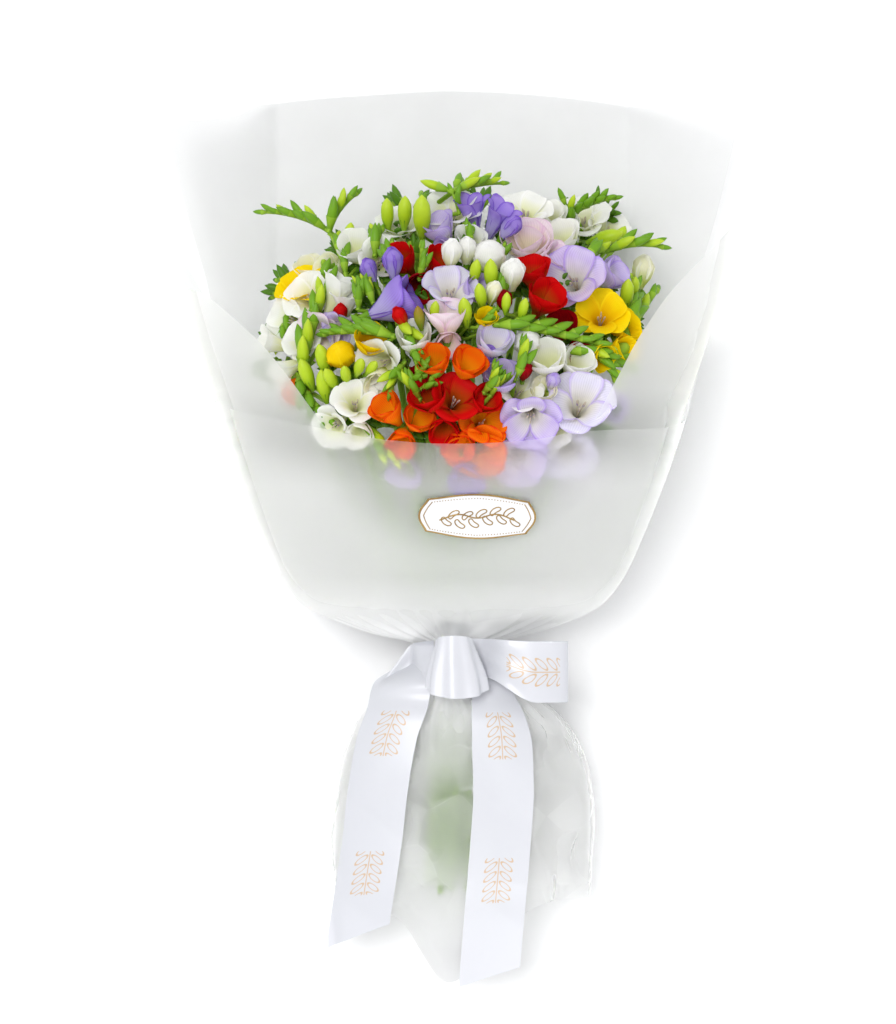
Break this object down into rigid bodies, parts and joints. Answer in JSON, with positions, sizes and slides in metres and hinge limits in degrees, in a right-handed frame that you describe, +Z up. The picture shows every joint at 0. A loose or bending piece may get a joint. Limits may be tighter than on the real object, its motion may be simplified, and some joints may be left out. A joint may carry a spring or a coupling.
{
  "type": "freesia bouquet",
  "caption": "Hand-tied bunch of mixed freesias in a frosted film wrap with a gathered skirt, a satin bow and a plain label, lying on its back.",
  "frame": {"origin": "middle of the bunch's footprint, on the surface that it lies on", "axes": "+Y along the bunch from the stem ends to the flowers, +Z up, which is the front of the bunch as it lies on its back, +X to the right seen from above with the flowers away"},
  "size_m": [0.3848, 0.6004, 0.199],
  "materials": {
    "stem_green": "waxy green stem, slightly ribbed",
    "petals_white": "soft matte petal, cream at the throat",
    "petals_violet": "soft matte petal, deeper at the throat",
    "petals_pink": "soft matte petal, blushing to white",
    "petals_lavender": "soft matte petal, veined",
    "petals_red": "velvety petal, yellow at the throat",
    "petals_yellow": "waxy petal",
    "petals_orange": "petal with red edges",
    "tie_twine": "matte twine",
    "frosted_film": "translucent frosted film, matte, softly creased",
    "ribbon_satin": "satin weave with a soft sheen",
    "label_card": "smooth white card with a pale gold border",
    "label_gold": "gold-brown card"
  },
  "bodies": {
    "root": {"back_sheet": "frosted_film", "flowers_01_white": "petals_white", "flowers_02_white": "petals_white", "flowers_03_violet": "petals_violet", "flowers_04_pink": "petals_pink", "flowers_05_white": "petals_white", "flowers_06_lavender": "petals_lavender", "flowers_07_red": "petals_red", "flowers_08_white": "petals_white", "flowers_09_red": "petals_red", "flowers_10_violet": "petals_violet", "flowers_11_yellow": "petals_yellow", "flowers_12_pink": "petals_pink", "flowers_13_white": "petals_white", "flowers_14_yellow": "petals_yellow", "flowers_15_white": "petals_white", "flowers_16_yellow": "petals_yellow", "flowers_17_white": "petals_white", "flowers_18_orange": "petals_orange", "flowers_19_lavender": "petals_lavender", "flowers_20_white": "petals_white", "flowers_21_lavender": "petals_lavender", "flowers_22_white": "petals_white", "flowers_23_orange": "petals_orange", "flowers_24_red": "petals_red", "inner_wrap": "frosted_film", "label_backing": "label_gold", "label_face": "label_card", "outer_wrap": "frosted_film", "ribbon_band": "ribbon_satin", "ribbon_left_tail": "ribbon_satin", "ribbon_loop": "ribbon_satin", "ribbon_right_tail": "ribbon_satin", "ribbon_roll": "ribbon_satin", "stem_01": "stem_green", "stem_02": "stem_green", "stem_03": "stem_green", "stem_04": "stem_green", "stem_05": "stem_green", "stem_06": "stem_green", "stem_07": "stem_green", "stem_08": "stem_green", "stem_09": "stem_green", "stem_10": "stem_green", "stem_11": "stem_green", "stem_12": "stem_green", "stem_13": "stem_green", "stem_14": "stem_green", "stem_15": "stem_green", "stem_16": "stem_green", "stem_17": "stem_green", "stem_18": "stem_green", "stem_19": "stem_green", "stem_20": "stem_green", "stem_21": "stem_green", "stem_22": "stem_green", "stem_23": "stem_green", "stem_24": "stem_green", "stem_tie": "tie_twine"}
  },
  "joints": []
}
